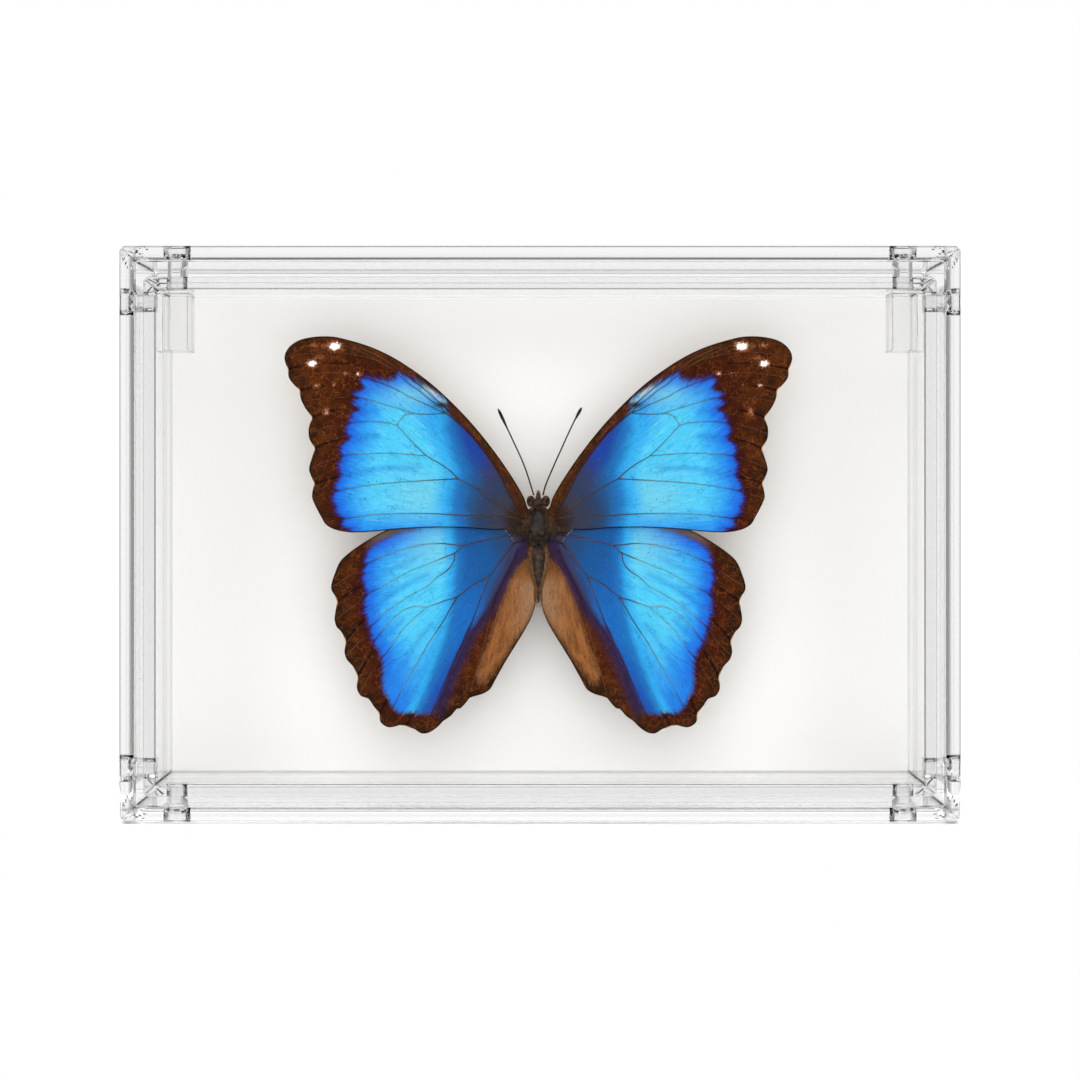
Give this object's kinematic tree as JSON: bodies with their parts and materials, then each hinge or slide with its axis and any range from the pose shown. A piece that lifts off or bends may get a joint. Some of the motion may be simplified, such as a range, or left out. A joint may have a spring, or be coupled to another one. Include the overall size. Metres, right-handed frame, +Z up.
{
  "type": "framed butterfly specimen",
  "caption": "Spread blue butterfly on a hidden post before a white board, sealed in a clear double-walled acrylic box that stands upright or lies on its back.",
  "frame": {"origin": "middle of the bottom face, on the surface that the box stands on", "axes": "+X to the viewer's right along the box, +Y from the front panel to the back panel, +Z upwards towards the butterfly's head"},
  "size_m": [0.2, 0.036, 0.137],
  "materials": {
    "acrylic": "clear polished acrylic sheet and rod, index of refraction 1.49",
    "board": "matte white paper-faced mounting board",
    "wing": "scaled wing: bright structural blue with a dark brown margin, soft metallic sheen",
    "insect_body": "dark brown hairy chitin",
    "antenna": "smooth near-black chitin"
  },
  "bodies": {
    "root": {"outer_wall_top": "acrylic", "outer_wall_bottom": "acrylic", "outer_wall_left": "acrylic", "outer_wall_right": "acrylic", "front_panel": "acrylic", "back_panel": "acrylic", "inner_wall_top": "acrylic", "inner_wall_bottom": "acrylic", "inner_wall_left": "acrylic", "inner_wall_right": "acrylic", "corner_block_left": "acrylic", "corner_block_right": "acrylic", "pin_left_upper": "acrylic", "pin_left_lower": "acrylic", "pin_right_upper": "acrylic", "pin_right_lower": "acrylic", "pin_top_left": "acrylic", "pin_top_right": "acrylic", "pin_bottom_left": "acrylic", "pin_bottom_right": "acrylic", "mount_post": "acrylic", "backing_board": "board", "butterfly_body": "insect_body", "forewing_left": "wing", "forewing_right": "wing", "hindwing_left": "wing", "hindwing_right": "wing", "antenna_left": "antenna", "antenna_right": "antenna", "leg_middle_left": "insect_body", "leg_middle_right": "insect_body", "leg_hind_left": "insect_body", "leg_hind_right": "insect_body"}
  },
  "joints": []
}
